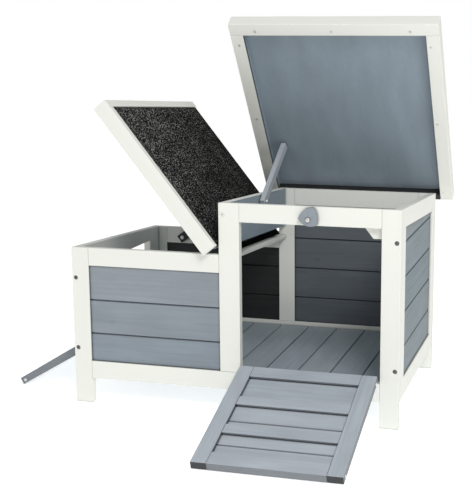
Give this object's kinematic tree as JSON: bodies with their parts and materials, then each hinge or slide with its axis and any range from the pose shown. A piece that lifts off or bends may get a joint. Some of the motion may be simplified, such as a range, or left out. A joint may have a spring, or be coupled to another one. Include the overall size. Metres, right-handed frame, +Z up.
{
  "type": "rabbit hutch",
  "caption": "Low wooden rabbit hutch with a tower room beside a low room, lifting felt roofs on prop sticks, fold-down ramps at front and side, plank walls and turn buttons.",
  "frame": {"origin": "on the ground under the middle of the box around the hutch as pictured, with both roofs raised and both ramps lowered", "axes": "+X to the right along the front, +Y to the back, +Z up"},
  "size_m": [0.8332, 0.7302, 0.7438],
  "materials": {
    "white_painted_wood": "white painted pine, matt, fine grain showing",
    "grey_glazed_wood": "blue-grey glazed pine, matt, grain and knots showing",
    "roofing_felt": "black mineral-faced bitumen roofing felt, rough",
    "zinc_plated_steel": "zinc-plated steel, satin",
    "stained_wood": "dark grey stained pine, matt",
    "blackened_steel": "black phosphated steel, satin",
    "dark_grey_glazed_wood": "dark blue-grey glazed pine, matt, grain showing"
  },
  "bodies": {
    "hutch": {"front_left_post": "white_painted_wood", "front_middle_post": "white_painted_wood", "front_right_post": "white_painted_wood", "front_bottom_rail": "white_painted_wood", "front_low_rail": "white_painted_wood", "front_tower_rail": "white_painted_wood", "front_low_planks": "grey_glazed_wood", "back_left_post": "white_painted_wood", "back_middle_post": "white_painted_wood", "back_right_post": "white_painted_wood", "back_bottom_rail": "white_painted_wood", "back_low_rail": "white_painted_wood", "back_tower_rail": "white_painted_wood", "back_low_planks": "stained_wood", "back_tower_planks": "dark_grey_glazed_wood", "right_front_stile": "white_painted_wood", "right_back_stile": "white_painted_wood", "right_top_rail": "white_painted_wood", "right_bottom_rail": "white_painted_wood", "right_planks": "grey_glazed_wood", "left_front_stile": "white_painted_wood", "left_back_stile": "white_painted_wood", "left_top_rail": "white_painted_wood", "left_bottom_rail": "white_painted_wood", "divider_rail": "white_painted_wood", "tower_left_panel": "grey_glazed_wood", "floor_planks": "grey_glazed_wood", "floor_battens": "white_painted_wood", "door_stop": "white_painted_wood", "cabinet_hinge_leaves": "zinc_plated_steel", "hinge_pins": "zinc_plated_steel", "pivot_screws": "zinc_plated_steel", "frame_screws": "blackened_steel"},
    "tower_roof": {"tower_roof_front_rail": "white_painted_wood", "tower_roof_left_rail": "white_painted_wood", "tower_roof_right_rail": "white_painted_wood", "tower_roof_back_rail": "stained_wood", "tower_roof_deck": "grey_glazed_wood", "tower_roof_felt": "roofing_felt", "tower_roof_hinge_leaves": "zinc_plated_steel"},
    "low_roof": {"low_roof_front_fascia": "white_painted_wood", "low_roof_left_fascia": "white_painted_wood", "low_roof_back_rail": "white_painted_wood", "low_roof_deck": "grey_glazed_wood", "low_roof_felt": "roofing_felt", "low_roof_hinge_leaves": "zinc_plated_steel"},
    "front_ramp": {"front_ramp_stiles": "grey_glazed_wood", "front_ramp_rails": "grey_glazed_wood", "front_ramp_planks": "grey_glazed_wood", "front_ramp_treads": "grey_glazed_wood", "front_ramp_hinge_leaves": "zinc_plated_steel"},
    "side_ramp": {"side_ramp_stiles": "grey_glazed_wood", "side_ramp_rails": "grey_glazed_wood", "side_ramp_planks": "grey_glazed_wood", "side_ramp_treads": "grey_glazed_wood", "side_ramp_hinge_leaves": "zinc_plated_steel"},
    "tower_prop": {"tower_prop": "grey_glazed_wood"},
    "low_prop": {"low_prop": "stained_wood"},
    "front_button": {"front_turn_button": "grey_glazed_wood"},
    "side_button": {"side_turn_button": "grey_glazed_wood"}
  },
  "joints": [
    {"name": "tower_roof_hinge", "type": "hinge", "parent": "hutch", "child": "tower_roof", "pos_m": [-0.25737, 0.32666, 0.378], "axis": [1, 0, 0], "range_deg": [0, 50.53]},
    {"name": "tower_prop_pivot", "type": "hinge", "parent": "hutch", "child": "tower_prop", "pos_m": [0.06363, 0.12366, 0.38], "axis": [1, 0, 0], "range_deg": [-131.48, 0.1]},
    {"name": "low_roof_hinge", "type": "hinge", "parent": "hutch", "child": "low_roof", "pos_m": [0.03863, -0.08852, 0.30601], "axis": [0, 0.9982, -0.0606], "range_deg": [-50.5, 0]},
    {"name": "low_prop_pivot", "type": "hinge", "parent": "hutch", "child": "low_prop", "pos_m": [-0.18037, 0.30166, 0.264], "axis": [0, 1, 0], "range_deg": [-0.1, 106.15]},
    {"name": "front_ramp_hinge", "type": "hinge", "parent": "hutch", "child": "front_ramp", "pos_m": [0.21463, -0.09134, 0.08625], "axis": [1, 0, 0], "range_deg": [-108.07, 0]},
    {"name": "side_ramp_hinge", "type": "hinge", "parent": "hutch", "child": "side_ramp", "pos_m": [-0.26037, 0.11766, 0.08625], "axis": [0, 1, 0], "range_deg": [0, 120.64]},
    {"name": "front_button_pivot", "type": "hinge", "parent": "hutch", "child": "front_button", "pos_m": [0.21413, -0.08934, 0.3825], "axis": [0, 1, 0], "continuous": true},
    {"name": "side_button_pivot", "type": "hinge", "parent": "hutch", "child": "side_button", "pos_m": [-0.25837, 0.11766, 0.2715], "axis": [1, 0, 0], "continuous": true}
  ],
  "couplings": [
    {"joint": "tower_prop_pivot", "follows": "tower_roof_hinge", "ratio": -2.6},
    {"joint": "low_prop_pivot", "follows": "low_roof_hinge", "ratio": -2.1}
  ]
}
